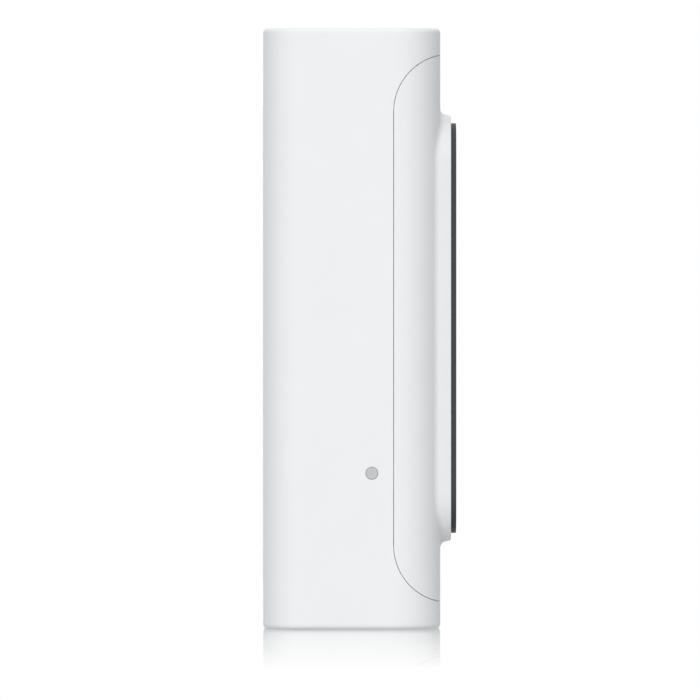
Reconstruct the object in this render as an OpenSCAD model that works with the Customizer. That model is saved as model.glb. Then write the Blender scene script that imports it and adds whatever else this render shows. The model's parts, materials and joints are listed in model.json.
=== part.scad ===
// Battery video doorbell: a deep white housing that hangs on a flush wall bracket, closed by a
// front cover whose raised plinth carries a black glass panel with camera, motion window and
// bell button. Millimetres, +Z up. The wall is the plane y = 0 and the front faces -Y, so a
// depth in this file is a distance from the wall.

/* [Body] */
// Height of the housing
body_h = 140; // [138:0.5:146]
// Width across the front
body_w = 50; // [49:0.5:56]
// Depth from the wall to the flat front face
body_d = 41.4; // [41:0.1:44]
// Radius of the two front vertical corners
front_r = 10.9; // [9:0.1:12]
// Radius of the two rear vertical corners
rear_r = 9.3; // [8:0.1:10]
// Wall thickness of the two shells
wall = 2.2; // [1.8:0.1:2.3]

/* [Seam of the front cover] */
// Thickness of the front cover behind the flat front face
seam_d = 11; // [10.9:0.05:11.1]
// Radius of the seam's two corners
seam_r = 13.5; // [12:0.5:13.5]
// Distance of the seam from the top and from the bottom
seam_margin = 6.05; // [5.6:0.05:6.6]
// Gap along the seam
seam_gap = 0.1; // [0.1:0.05:0.3]

/* [Front panel] */
// Width of the raised plinth
plinth_w = 35.8; // [35.6:0.1:39]
// Height of the raised plinth
plinth_h = 99.1; // [98.5:0.1:102]
// How far the plinth stands out of the front face
plinth_t = 2.5; // [2:0.1:3]
// Corner radius of the plinth
plinth_r = 10.7; // [9:0.1:12]
// Width of the glass
glass_w = 32.4; // [32:0.1:35]
// Height of the glass
glass_h = 95.8; // [95:0.1:97.5]
// Thickness of the glass, all of it proud of the plinth
glass_t = 1.2; // [1:0.1:1.6]
// Corner radius of the glass
glass_r = 10.3; // [8:0.1:11]

/* [Controls] */
// Radius of the bell button
button_r = 9.3; // [8.5:0.1:9.3]
// Radius of the small setup button on the side
setup_r = 1.4; // [1:0.01:1.5]
// Height of the setup button above mid-height
setup_z = -33.65; // [-34.5:0.05:-33]
// Depth of the setup button's axis
setup_d = 25.4; // [25:0.1:25.5]

/* [Camera] */
// Height of the camera above mid-height
camera_z = 31; // [30.5:0.1:31.5]
// Radius of the flat camera window
window_r = 6.5; // [6:0.1:6.6]
// Radius of the bezel around the window
bezel_r = 8.45; // [8.2:0.05:8.6]

/* [Wall bracket] */
// Distance between the two wall screw holes
wall_hole_pitch = 90; // [86:1:92]
// Radius of the wall screw holes
wall_hole_r = 2.25; // [2:0.05:2.6]
// Thickness of the bracket's plate
bracket_t = 1.8; // [1.5:0.1:1.8]

/* [Battery] */
// Radius of each round cell
cell_r = 9.25; // [9:0.05:9.25]
// Length of each round cell
cell_h = 65; // [64:0.5:65]

/* [Hidden] */
$fn = 96;
// Small overlap that makes one cut run past a face
eps = 0.1;
// Slip gap between two pieces that never move against each other
slip = 0.05;

half_w = body_w / 2;
half_h = body_h / 2;
inner_x = half_w - wall;

// Depth stations from the wall to the front
rear_inside = 5.7;
chassis_d = [26.8, 28.3];
ear_d = body_d - seam_d - 2;
seam_face = body_d - seam_d;
main_board_d = [29.2, 30.4];
front_board_d = [36, 37];
panel_inside = body_d + plinth_t - 2;
plinth_face = body_d + plinth_t;
glass_face = plinth_face + glass_t;
adhesive_t = 0.3;

// Half heights that follow the seam
seam_half = half_h - seam_margin;
mouth_half = seam_half - seam_r + 0.1;
tub_half = half_h - 2.4;
cover_wall = 2;

// Tongue along the seam's arcs: how far it reaches over the gap and lies under the skin
tongue_reach = 0.7;
tongue_inset = 1.1;
tongue_gap = 0.1;

// Lip of the front cover that plugs into the housing's mouth
lip_gap = 0.3;
lip_t = 1.6;
lip_d = [28.6, seam_face + seam_gap];
seal_d = [29.1, 29.9];
seal_t = 0.9;

// Running gap round the setup button
setup_gap = 0.05;

// Front panel features
button_z = -29;
ring_gap = 0.4;
ring_r = 11.65;
pir_z = 6;
pir_w = 17;
pir_h = 7.6;
ir_z = 16.2;
ir_x = 7;
mic_z = -11.5;
mic_r = 0.6;

// Screw places, each [x, z]
cover_screws_at = [for (x = [-11.5, 11.5], z = [-56.5, 56.5]) [x, z]];
chassis_screws_at = [for (x = [-18, 18], z = [-46, -22.5]) [x, z]];
main_board_screws_at = [for (x = [-13.3, 13.3], z = [-39.5, 12.5]) [x, z]];
front_board_screws_at = [for (x = [-12.9, 12.9], z = [-44, 18]) [x, z]];
camera_screws_at = [for (x = [-12.9, 12.9], z = [24.5, 43]) [x, z]];

// Long cover screws, short board screws
cover_screw_r = 1.25;
cover_screw_head = [2.3, 1.6];
board_screw_r = 0.8;
board_screw_head = [1.5, 1.1];
board_screw_l = 4;

// Recess and pocket for the wall bracket
recess_x = 14.4;
recess_z = [-60, 52.3];
recess_d = 3.6;
pocket_x = 6.4;
pocket_d = 8.9;
pocket_z = -66.3;
bracket_screw_d = 5;
wall_hole_mid = -5;

// Camera block
camera_plate_d = [32.3, 34];
holder_d = [28.4, 32.2];
holder_x = 11;
holder_z = 7;
filter_travel = 6.6;
filter_d = [30.3, 30.9];
filter_window = 5.2;

// Battery bay
cell_x = 9.35;
cell_d = 17;
cell_z = -16;
tray_x = 18.2;
tray_z = [cell_z - 3.5, cell_z + cell_h + 3.5];
tray_wall = 1.9;

// Bottom end: charging socket, its door, and the loudspeaker
usb_x = 12.9;
usb_d = 20;
door_x = [7, 20.4];
door_half = 3.5;
door_t = 1.1;
door_pin_r = 0.6;
door_axis_z = -half_h + 1.3;
speaker_x = -8.5;
speaker_d = 20;
speaker_size = [24, 15];

// ---- Shared shapes ----

// A flat X-Z outline between two depths from the wall
module layer(d0, d1)
    translate([0, -d0, 0]) rotate([90, 0, 0]) linear_extrude(d1 - d0) children();

// A flat X-Y outline between two heights
module storey(z0, z1)
    translate([0, 0, z0]) linear_extrude(z1 - z0) children();

// A round bar along the depth at [x, z]
module rod(at, r, d0, d1)
    translate([at[0], -d0, at[1]]) rotate([90, 0, 0]) cylinder(h = d1 - d0, r = r);

// A round bar along X at [depth, z]
module side_rod(at, r, x0, x1)
    translate([x0, -at[0], at[1]]) rotate([0, 90, 0]) cylinder(h = x1 - x0, r = r);

// A round bar along Z at [x, depth]
module post(at, r, z0, z1)
    translate([at[0], -at[1], z0]) cylinder(h = z1 - z0, r = r);

// A turned shape at [x, z]: the outline's x is the radius and its y the depth
module turned(at)
    translate([at[0], 0, at[1]]) rotate([90, 0, 0]) rotate_extrude() children();

// A box given by its limits along X, depth and Z
module block(x, d, z)
    translate([x[0], -d[1], z[0]]) cube([x[1] - x[0], d[1] - d[0], z[1] - z[0]]);

// A rectangle with round corners, centred
module rounded(w, h, r)
    union() {
        square([w, h - 2 * r], center = true);
        square([w - 2 * r, h], center = true);
        for (x = [-1, 1], z = [-1, 1])
            translate([x * (w / 2 - r), z * (h / 2 - r)]) circle(r = r);
    }

// A flat frame: a rounded rectangle with another cut out of it
module frame(w, h, r, t)
    difference() {
        rounded(w, h, r);
        rounded(w - 2 * t, h - 2 * t, r - t);
    }

// A thin strip of constant thickness along a bent line
module strip(points, t)
    for (i = [1 : len(points) - 1]) {
        from = points[i - 1];
        run = points[i] - from;
        translate(from) circle(r = t / 2);
        translate(points[i]) circle(r = t / 2);
        translate(from) rotate(atan2(run[1], run[0]))
            translate([0, -t / 2]) square([norm(run), t]);
    }

// A pan-head screw along the depth: towards = 1 points its shaft at the front
module pan_screw(at, head_d, shaft_r, shaft_l, head, towards)
    translate([at[0], -head_d, at[1]]) rotate([towards * 90, 0, 0])
        difference() {
            union() {
                translate([0, 0, -eps]) cylinder(h = shaft_l + eps, r = shaft_r);
                translate([0, 0, -head[1]]) cylinder(h = head[1], r = head[0]);
            }
            translate([0, 0, -head[1] - eps])
                cylinder(h = head[1] / 2 + eps, r = head[0] / 2, $fn = 6);
        }

// ---- Shells ----

// Plan outline of the body, moved inwards by inset
module body_outline(inset = 0) {
    half = half_w - inset;
    front = front_r - inset;
    rear = rear_r - inset;
    front_y = -body_d + inset;
    rear_y = -inset;
    union() {
        for (side = [-1, 1]) {
            translate([side * (half - front), front_y + front]) circle(r = front);
            translate([side * (half - rear), rear_y - rear]) circle(r = rear);
        }
        translate([-half, front_y + front])
            square([2 * half, rear_y - rear - front_y - front]);
        translate([-(half - front), front_y]) square([2 * (half - front), front]);
        translate([-(half - rear), rear_y - rear]) square([2 * (half - rear), rear]);
    }
}

// Everything in front of the seam, which is a D seen from the side
module seam_solid(grow = 0) {
    arc_y = -seam_face - seam_r;
    arc_z = seam_half - seam_r;
    far = 20;
    translate([-half_w - 1, 0, 0]) rotate([90, 0, 90]) linear_extrude(body_w + 2)
        union() {
            for (z = [-arc_z, arc_z])
                translate([arc_y, z]) circle(r = seam_r + grow);
            translate([arc_y - far, -arc_z]) square([far + seam_r + grow, 2 * arc_z]);
            translate([arc_y - far, -seam_half - grow])
                square([far, 2 * (seam_half + grow)]);
        }
}

// Where the tongue lies above and below the mouth, at a distance grow from its own surface
module tongue_solid(grow = 0)
    for (z = [[mouth_half + 0.2 - grow, half_h], [-half_h, -mouth_half - 0.2 + grow]])
        intersection() {
            storey(z[0], z[1]) body_outline(tongue_inset - grow);
            seam_solid(tongue_reach + grow);
        }

module housing_shell()
    difference() {
        storey(-half_h, half_h) body_outline();
        seam_solid();
        tongue_solid(tongue_gap);
        intersection() {
            storey(-tub_half, tub_half) body_outline(wall);
            block([-half_w, half_w], [rear_inside, ear_d], [-half_h, half_h]);
        }
        layer(ear_d - eps, seam_face + 1)
            rounded(2 * inner_x, 2 * mouth_half, 4);
    }

module housing_posts() {
    for (at = cover_screws_at)
        rod(at, 2.8, rear_inside - eps, ear_d + eps);
    for (at = chassis_screws_at)
        rod(at, 2.6, rear_inside - eps, chassis_d[0]);
    // Walls of the pocket that takes the bracket's lower tab
    block([-8.4, 8.4], [rear_inside - eps, 10.9], [-tub_half - eps, -58]);
    // Thick floor around the charging socket
    block([6.2, inner_x + eps], [15, 25], [-tub_half - eps, -64.8]);
}

module grille_slots()
    for (i = [-3 : 3])
        translate([speaker_x + 2.6 * i, -speaker_d])
            union() {
                square([1.4, 9.6], center = true);
                for (end = [-4.8, 4.8]) translate([0, end]) circle(r = 0.7);
            }

module usb_opening() {
    floor_z = -half_h + door_t + 0.4;
    // Shallow recess for the door, a deeper groove for its barrel, and sockets for its pins
    block([door_x[0] - 0.3, 22.2], [usb_d - door_half - 0.3, usb_d + door_half + 0.3],
        [-half_h - eps, floor_z]);
    block([18.9, 22.2], [usb_d - door_half - 0.3, usb_d + door_half + 0.3],
        [-half_h - eps, door_axis_z + 1.4]);
    rod([door_x[1], door_axis_z], door_pin_r + 0.05, usb_d - 4.8, usb_d + 4.8);
    storey(-half_h, -64.7) translate([usb_x, -usb_d]) rounded(9.4, 3.8, 1.8);
}

module main_housing() color("whitesmoke")
    difference() {
        union() {
            housing_shell();
            housing_posts();
        }
        // Recess, upper slot and lower pocket for the wall bracket
        layer(-eps, recess_d)
            translate([0, (recess_z[0] + recess_z[1]) / 2])
                rounded(2 * recess_x, recess_z[1] - recess_z[0], 3);
        block([-8.4, 8.4], [0.9, 2.9], [recess_z[1] - eps, recess_z[1] + 3.1]);
        block([-pocket_x, pocket_x], [-eps, pocket_d], [pocket_z, recess_z[0] + eps]);
        post([0, bracket_screw_d], 3, -half_h - eps, -half_h + 2);
        post([0, bracket_screw_d], 1.7, -half_h, pocket_z + eps);
        // Through holes and counterbores of the long cover screws
        for (at = cover_screws_at) {
            rod(at, cover_screw_r + 0.15, -eps, seam_face + 4);
            rod(at, 2.6, -eps, recess_d);
        }
        for (at = chassis_screws_at)
            rod(at, 1.05, chassis_d[0] - 6.8, chassis_d[0] + eps);
        // Slots that hold the side board in the two left posts
        block([-18.3, -17.3], [16.9, 26.9], [-44.4, -24.1]);
        // Openings of the terminals, the vent, the setup button, the speaker and the socket
        block([-9.2, 9.2], [recess_d - eps, rear_inside + eps], [-36.2, -23.8]);
        rod([0, 60], 0.8, -eps, rear_inside + eps);
        side_rod([setup_d, setup_z], setup_r + setup_gap, -half_w - eps, -inner_x + eps);
        storey(-half_h - eps, -tub_half + eps) grille_slots();
        usb_opening();
    }

// The opening behind the glass for each feature of the front panel
module panel_openings() {
    rod([0, camera_z], 8.5, panel_inside + 0.5, plinth_face + eps);
    rod([0, camera_z], 6.8, panel_inside - eps, plinth_face + eps);
    for (x = [-ir_x, ir_x])
        rod([x, ir_z], 2.2, panel_inside - eps, plinth_face + eps);
    rod([0, ir_z], 1.2, panel_inside - eps, plinth_face + eps);
    layer(panel_inside - eps, plinth_face + eps)
        translate([0, pir_z]) rounded(pir_w + 2 * slip, pir_h + 2 * slip, 1.5);
    rod([0, mic_z], mic_r, panel_inside - eps, plinth_face + eps);
    rod([0, button_z], ring_r + slip, panel_inside - eps, plinth_face + eps);
}

module cover_shell()
    difference() {
        union() {
            intersection() {
                storey(-half_h, half_h) body_outline();
                seam_solid(-seam_gap);
            }
            layer(body_d - 1, plinth_face) rounded(plinth_w, plinth_h, plinth_r);
        }
        intersection() {
            storey(-half_h, half_h) body_outline(wall);
            union() {
                seam_solid(-seam_gap - cover_wall);
                block([-half_w, half_w], [seam_face - 1, seam_face + 4],
                    [-mouth_half + 0.1, mouth_half - 0.1]);
            }
        }
        layer(body_d - wall - eps, panel_inside)
            rounded(plinth_w - 6.8, plinth_h - 6.8, plinth_r - 3);
        layer(plinth_face - adhesive_t, plinth_face + eps)
            rounded(glass_w - 3, glass_h - 3, glass_r - 1.5);
        panel_openings();
    }

// Frame behind the front cover that plugs into the housing's mouth and carries the seal
module cover_lip() {
    lip_w = 2 * (inner_x - lip_gap);
    lip_h = 2 * (mouth_half - lip_gap);
    root_d = lip_d[1] + 1.8;
    difference() {
        union() {
            layer(lip_d[0], lip_d[1] + eps) rounded(lip_w, lip_h, 4);
            layer(lip_d[1], root_d) rounded(2 * inner_x + eps, 2 * mouth_half, 4.3);
        }
        layer(lip_d[0] - eps, root_d + eps)
            rounded(lip_w - 2 * lip_t, lip_h - 2 * lip_t, 4 - lip_t);
        layer(seal_d[0], seal_d[1])
            difference() {
                rounded(lip_w + 1, lip_h + 1, 4);
                rounded(lip_w - 2 * (seal_t - 0.2), lip_h - 2 * (seal_t - 0.2), 3.3);
            }
    }
}

module front_cover() color("whitesmoke")
    difference() {
        union() {
            cover_shell();
            cover_lip();
            difference() {
                tongue_solid();
                seam_solid(-seam_gap - 0.5);
            }
            for (at = cover_screws_at)
                intersection() {
                    rod(at, 2.8, seam_face, body_d - wall + eps);
                    seam_solid(-seam_gap);
                }
            for (at = front_board_screws_at)
                rod(at, 2, front_board_d[1], panel_inside + eps);
            for (at = camera_screws_at)
                rod(at, 2, camera_plate_d[1], panel_inside + eps);
        }
        for (at = cover_screws_at)
            rod(at, cover_screw_r + slip, seam_face - 2, body_d - wall - 1);
        for (at = front_board_screws_at)
            rod(at, board_screw_r + slip, front_board_d[1] - eps, front_board_d[1] + 3.6);
        for (at = camera_screws_at)
            rod(at, board_screw_r + slip, camera_plate_d[1] - eps, camera_plate_d[1] + 3.6);
    }

module cover_seal() color("dimgray")
    layer(seal_d[0], seal_d[1])
        frame(2 * inner_x - 2 * slip, 2 * mouth_half - 2 * slip, 4.2, seal_t);

module cover_screws() color("silver")
    for (at = cover_screws_at)
        pan_screw(at, recess_d, cover_screw_r, 33, cover_screw_head, 1);

// ---- Front panel ----

module front_glass() color("black")
    difference() {
        layer(plinth_face, glass_face) rounded(glass_w, glass_h, glass_r);
        rod([0, camera_z], bezel_r + slip, plinth_face - eps, glass_face + eps);
        rod([0, button_z], ring_r + slip, plinth_face - eps, glass_face + eps);
        rod([0, mic_z], mic_r, plinth_face - eps, glass_face + eps);
        layer(plinth_face - eps, glass_face + eps)
            translate([0, pir_z]) rounded(pir_w + 2 * slip, pir_h + 2 * slip, 1.5);
    }

module glass_adhesive() color("dimgray")
    layer(plinth_face - adhesive_t, plinth_face)
        difference() {
            rounded(glass_w - 3.2, glass_h - 3.2, glass_r - 1.6);
            translate([0, camera_z]) circle(r = 9.2);
            translate([0, button_z]) circle(r = 12.4);
            translate([0, mic_z]) circle(r = 1.4);
            translate([0, pir_z]) rounded(pir_w + 1.6, pir_h + 1.6, 1.8);
            for (x = [-ir_x, 0, ir_x]) translate([x, ir_z]) circle(r = 2.8);
        }

module pir_lens() color("gray")
    difference() {
        union() {
            layer(panel_inside - slip, glass_face)
                translate([0, pir_z]) rounded(pir_w, pir_h, 1.45);
            layer(panel_inside - 0.8, panel_inside)
                translate([0, pir_z]) rounded(pir_w + 2.4, pir_h + 2.4, 2);
        }
        layer(panel_inside - 1, glass_face - 1)
            translate([0, pir_z]) rounded(pir_w - 2, pir_h - 2, 1);
    }

module pir_sensor() color("silver")
    difference() {
        rod([0, pir_z], 4.5, front_board_d[1], panel_inside - 0.9);
        layer(panel_inside - 1.3, panel_inside)
            translate([0, pir_z]) square([4.6, 3.4], center = true);
    }

module ir_leds() color("lightyellow")
    for (x = [-ir_x, ir_x]) {
        block([x - 1.4, x + 1.4], [front_board_d[1], front_board_d[1] + 1.2],
            [ir_z - 1.4, ir_z + 1.4]);
        intersection() {
            translate([x, -front_board_d[1] - 1.1, ir_z]) sphere(r = 1.2);
            rod([x, ir_z], 1.3, front_board_d[1] + 1.1, front_board_d[1] + 3);
        }
    }

module ir_light_tubes() color("black")
    for (x = [-ir_x, ir_x])
        difference() {
            rod([x, ir_z], 3, front_board_d[1], panel_inside);
            rod([x, ir_z], 2.2, front_board_d[1] - eps, panel_inside + eps);
        }

module light_sensor() color("lightgray")
    block([-1, 1], [front_board_d[1], front_board_d[1] + 0.7], [ir_z - 1, ir_z + 1]);

module mic_boot() color("black")
    difference() {
        rod([0, mic_z], 2.2, front_board_d[1], panel_inside);
        rod([0, mic_z], mic_r, front_board_d[1] - eps, panel_inside + eps);
    }

module mic_module() color("silver")
    block([-1.75, 1.75], [front_board_d[0] - 1, front_board_d[0]], [mic_z - 1.3, mic_z + 1.3]);

// ---- Bell button ----

module button_cap() color("black")
    union() {
        difference() {
            union() {
                rod([0, button_z], button_r, panel_inside - 1.3, glass_face);
                rod([0, button_z], 10.9, panel_inside - 1.3, panel_inside - 0.4);
            }
            rod([0, button_z], button_r - 1.2, panel_inside - 2, glass_face - 1.5);
        }
        rod([0, button_z], 2.2, panel_inside - 2.5, glass_face - 1);
    }

module button_ring() color("white")
    turned([0, button_z])
        polygon([
            [button_r + ring_gap, glass_face],
            [ring_r, glass_face],
            [ring_r, panel_inside],
            [ring_r + 1.15, panel_inside],
            [ring_r + 1.15, panel_inside - 0.8],
            [ring_r - 0.35, panel_inside - 0.8],
            [ring_r - 0.35, panel_inside],
            [button_r + ring_gap, panel_inside]]);

module button_dome() color("whitesmoke")
    turned([0, button_z])
        polygon([
            [3.6, front_board_d[1]],
            [8.5, front_board_d[1]],
            [8.5, front_board_d[1] + 0.5],
            [4.5, front_board_d[1] + 0.5],
            [2.4, panel_inside - 2.5],
            [0, panel_inside - 2.5],
            [0, panel_inside - 3.1],
            [1.6, panel_inside - 3.1]]);

module ring_leds() color("lightyellow")
    for (i = [0 : 7])
        translate([0, 0, button_z]) rotate([0, 45 * i + 22.5, 0])
            block([11.45, 12.65], [front_board_d[1], front_board_d[1] + 0.7], [-0.8, 0.8]);

module light_baffle() color("dimgray")
    difference() {
        rod([0, button_z], 14.2, front_board_d[1], panel_inside);
        rod([0, button_z], 13, front_board_d[1] - eps, panel_inside + eps);
    }

// ---- Setup button on the left side ----

module setup_button() color("lightgray") {
    at = [setup_d, setup_z];
    side_rod(at, setup_r, -half_w, -inner_x + 0.4);
    side_rod(at, 2.3, -inner_x + 0.35, -inner_x + 1.1);
    side_rod(at, 0.9, -inner_x + 1, -20.7);
}

module setup_plunger() color("dimgray")
    side_rod([setup_d, setup_z], 0.85, -20.7, -19.5);

module setup_switch() color("silver")
    difference() {
        block([-20.3, -18.2], [setup_d - 1.7, setup_d + 1.7], [setup_z - 1.7, setup_z + 1.7]);
        side_rod([setup_d, setup_z], 1.15, -20.4, -18.8);
    }

module side_board() color("darkgreen")
    block([-18.2, -17.4], [17, 26.7], [-44.2, -24.3]);

// ---- Camera ----

module camera_bezel() color("dimgray")
    turned([0, camera_z])
        polygon([
            [window_r - 0.9, panel_inside + 0.55],
            [bezel_r, panel_inside + 0.55],
            [bezel_r, glass_face],
            [window_r + slip, glass_face],
            [window_r + slip, glass_face - 1],
            [window_r - 0.6, glass_face - 1]]);

module camera_window() color("slategray")
    rod([0, camera_z], window_r, glass_face - 1, glass_face);

module camera_plate() color("dimgray")
    difference() {
        layer(camera_plate_d[0], camera_plate_d[1])
            translate([0, 33.75]) rounded(30, 23.5, 2);
        rod([0, camera_z], 6.6, camera_plate_d[0] - eps, camera_plate_d[1] + eps);
        for (at = camera_screws_at)
            rod(at, board_screw_r + slip, camera_plate_d[0] - eps, camera_plate_d[1] + eps);
    }

module lens_barrel() color("black")
    turned([0, camera_z])
        polygon([
            [3, 32.4],
            [4.6, 32.4],
            [4.6, 36.5],
            [5.2, 36.5],
            [5.2, 41.6],
            [4.25, 41.6],
            [4.25, 40],
            [3, 40]]);

module front_lens() color("midnightblue") {
    lens_r = 4.2;
    dome_r = 9.3;
    top_d = 42.2;
    intersection() {
        translate([0, dome_r - top_d, camera_z]) sphere(r = dome_r);
        rod([0, camera_z], lens_r, 40, top_d + 1);
    }
}

module lens_holder() color("dimgray")
    difference() {
        union() {
            rod([0, camera_z], 6.4, holder_d[1] - eps, 36);
            block([-holder_x, holder_x], holder_d, [camera_z - holder_z, camera_z + holder_z]);
        }
        rod([0, camera_z], 4.65, holder_d[1] + 0.1, 36 + eps);
        rod([0, camera_z], 3.4, holder_d[0], 36);
        // Chamber in which the filter slides from side to side
        block([-holder_x + 0.6, holder_x - 0.6], [holder_d[0] - eps, 31.4],
            [camera_z - 3.9, camera_z + 3.9]);
    }

module filter_slider() color("black")
    difference() {
        block([-3.45, filter_travel + 3.45], filter_d, [camera_z - 3.5, camera_z + 3.5]);
        for (x = [0, filter_travel])
            translate([x, 0, camera_z])
                block([-filter_window / 2, filter_window / 2],
                    [filter_d[0] - eps, filter_d[1] + eps],
                    [-filter_window / 2, filter_window / 2]);
    }

module filter_panes() color("lightskyblue")
    for (x = [0, filter_travel])
        translate([x, 0, camera_z])
            block([-filter_window / 2 + slip, filter_window / 2 - slip],
                [filter_d[0] + slip, filter_d[1] - slip],
                [-filter_window / 2 + slip, filter_window / 2 - slip]);

module filter_coil() color("peru")
    block([-4, 4], [29, 31.8], [camera_z + holder_z, camera_z + holder_z + 3.2]);

module sensor_board() color("darkgreen")
    block([-12, 12], [27.6, holder_d[0]], [20.5, 42]);

module image_sensor() color("midnightblue")
    block([-3.6, 3.6], [holder_d[0], 29.4], [camera_z - 3.1, camera_z + 3.1]);

// ---- Boards and frame ----

module chassis() color("dimgray")
    difference() {
        union() {
            layer(chassis_d[0], chassis_d[1])
                rounded(2 * inner_x - 1, 2 * mouth_half - 1, 4);
            // Tabs that tuck behind the upper edge of the housing's mouth
            for (x = [-11, 11])
                block([x - 3, x + 3], [chassis_d[0], chassis_d[1] - 0.1], [48, 53.4]);
            for (at = main_board_screws_at)
                rod(at, 2, chassis_d[0], main_board_d[0]);
        }
        block([-13.5, 13.5], [chassis_d[0] - eps, chassis_d[1] + eps], [19, 45]);
        // Notch that clears the setup button and its switch
        block([-half_w, -17], [chassis_d[0] - eps, chassis_d[1] + eps], [-37.5, -30.3]);
        for (at = chassis_screws_at)
            rod(at, 1.1, chassis_d[0] - eps, chassis_d[1] + eps);
        for (at = main_board_screws_at)
            rod(at, board_screw_r + slip, chassis_d[0] - eps, main_board_d[0] + eps);
    }

module chassis_screws() color("silver")
    for (at = chassis_screws_at)
        pan_screw(at, chassis_d[1], 1, 7.5, [1.9, 1.4], -1);

module board_screws() color("silver") {
    for (at = main_board_screws_at)
        pan_screw(at, main_board_d[1], board_screw_r, 3.5, board_screw_head, -1);
    for (at = front_board_screws_at)
        pan_screw(at, front_board_d[0], board_screw_r, board_screw_l, board_screw_head, 1);
    for (at = camera_screws_at)
        pan_screw(at, camera_plate_d[0], board_screw_r, board_screw_l, board_screw_head, 1);
}

module front_board() color("darkgreen")
    difference() {
        layer(front_board_d[0], front_board_d[1])
            translate([0, -12.5]) rounded(30, 67, 2);
        for (at = front_board_screws_at)
            rod(at, board_screw_r + slip, front_board_d[0] - eps, front_board_d[1] + eps);
        rod([0, mic_z], 0.5, front_board_d[0] - eps, front_board_d[1] + eps);
    }

module main_board() color("darkgreen")
    difference() {
        layer(main_board_d[0], main_board_d[1])
            translate([0, -13.5]) rounded(31, 57, 1.5);
        for (at = main_board_screws_at)
            rod(at, board_screw_r + slip, main_board_d[0] - eps, main_board_d[1] + eps);
    }

module soc_shield() color("silver")
    layer(main_board_d[1], main_board_d[1] + 1.8)
        translate([0, -10]) rounded(18, 20, 0.6);

module heat_spreader() color("lightgray")
    layer(main_board_d[1] + 1.8, main_board_d[1] + 2.6)
        translate([0, -10]) rounded(26, 28, 1.5);

module board_chips() color("black") {
    top = main_board_d[1];
    block([10.4, 14.8], [top, top + 1], [-8, -3]);
    block([10.4, 14.8], [top, top + 1.2], [-16, -11]);
    block([-14.8, -10.4], [top, top + 1], [-12, -4]);
    for (x = [-11, -5])
        rod([x, -27], 2, top, top + 2.4);
}

module board_connectors() color("ivory") {
    block([-4.5, 4.5], [holder_d[0], 29.6], [20.8, 23.4]);
    block([-4.5, 4.5], [main_board_d[1], 31.6], [11.2, 13.6]);
    block([-4.5, 4.5], [34.8, front_board_d[0]], [-30.4, -28]);
    block([-4.5, 4.5], [main_board_d[1], 31.6], [-36.4, -34]);
    block([8, 13], [main_board_d[1], 33.4], [-33, -29]);
}

module camera_flex() color("darkorange")
    translate([-4, 0, 0]) rotate([90, 0, 90]) linear_extrude(8)
        strip([[-29.75, 23], [-29.75, 20.5], [-31.75, 17], [-31.75, 11.4]], 0.24);

module front_flex() color("darkorange")
    translate([-4, 0, 0]) rotate([90, 0, 90]) linear_extrude(8)
        strip([[-34.65, -28.2], [-34.65, -34], [-31.75, -38.6], [-31.75, -34.2]], 0.24);

module antenna() color("goldenrod")
    block([-15, 15], [12, 24], [tub_half - 0.6, tub_half - 0.1]);

module vent_membrane() color("white")
    rod([0, 60], 3, rear_inside, rear_inside + 0.3);

// ---- Wiring terminals ----

module terminal_block() color("dimgray")
    difference() {
        union() {
            block([-9, 9], [recess_d + 0.1, 9.5], [-36, -24]);
            block([-10.5, 10.5], [rear_inside + slip, 7.2], [-37.5, -22.5]);
        }
        for (x = [-4.8, 4.8])
            rod([x, -30], 1.65, recess_d, 9.2);
    }

module terminal_screws() color("goldenrod")
    for (x = [-4.8, 4.8])
        pan_screw([x, -30], recess_d + 0.1, 1.6, 5.3, [2.9, 1.6], 1);

// ---- Wall bracket ----

module wall_bracket() color("gainsboro")
    difference() {
        union() {
            layer(0, bracket_t)
                translate([0, -3.75]) rounded(2 * recess_x - 0.6, 111.5, 2.7);
            // Upper tongue, lower tab and the two stiffening flanges
            block([-8, 8], [1.2, 2.6], [49, recess_z[1] + 2.8]);
            block([-6, 6], [0, bracket_t], [-66, -57]);
            block([-6, 6], [0, 8.5], [-66, -63.8]);
            for (side = [-1, 1])
                block(side > 0 ? [12.3, 14.1] : [-14.1, -12.3], [bracket_t - eps, 3.2],
                    [-52, 48]);
        }
        block([-11, 11], [-eps, bracket_t + eps], [-42, -18]);
        for (side = [-1, 1])
            rod([0, wall_hole_mid + side * wall_hole_pitch / 2], wall_hole_r, -eps, 4);
        post([0, bracket_screw_d], 1.55, -67, -63);
    }

module bracket_screw() color("silver")
    translate([0, -bracket_screw_d, -half_h + 2])
        difference() {
            union() {
                translate([0, 0, -eps]) cylinder(h = 4.9, r = 1.5);
                translate([0, 0, -1.6]) cylinder(h = 1.6, r = 2.7);
            }
            translate([0, 0, -1.7]) cylinder(h = 1.1, r = 1.3, $fn = 6);
        }

// ---- Battery ----

module battery_cells() color("steelblue")
    for (x = [-cell_x, cell_x]) {
        post([x, cell_d], cell_r, cell_z, cell_z + cell_h - 1.2);
        post([x, cell_d], 3, cell_z + cell_h - 1.3, cell_z + cell_h);
    }

module battery_tray() color("dimgray")
    difference() {
        union() {
            block([-tray_x, tray_x], [rear_inside + 0.1, 9.5], tray_z);
            block([-tray_x, tray_x], [rear_inside + 0.1, chassis_d[0] - 0.1],
                [tray_z[0], tray_z[0] + tray_wall]);
            block([-tray_x, tray_x], [rear_inside + 0.1, chassis_d[0] - 0.1],
                [tray_z[1] - tray_wall, tray_z[1]]);
        }
        for (x = [-cell_x, cell_x])
            post([x, cell_d], cell_r + 0.1, tray_z[0] + tray_wall, tray_z[1] - tray_wall);
    }

module battery_contacts() color("silver")
    for (x = [-cell_x, cell_x]) {
        post([x, cell_d], 3.6, tray_z[0] + tray_wall, cell_z);
        post([x, cell_d], 3.6, cell_z + cell_h, tray_z[1] - tray_wall);
    }

// ---- Loudspeaker ----

module speaker_outline(inset)
    translate([speaker_x, -speaker_d])
        rounded(speaker_size[0] - 2 * inset, speaker_size[1] - 2 * inset, 3 - inset);

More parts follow.
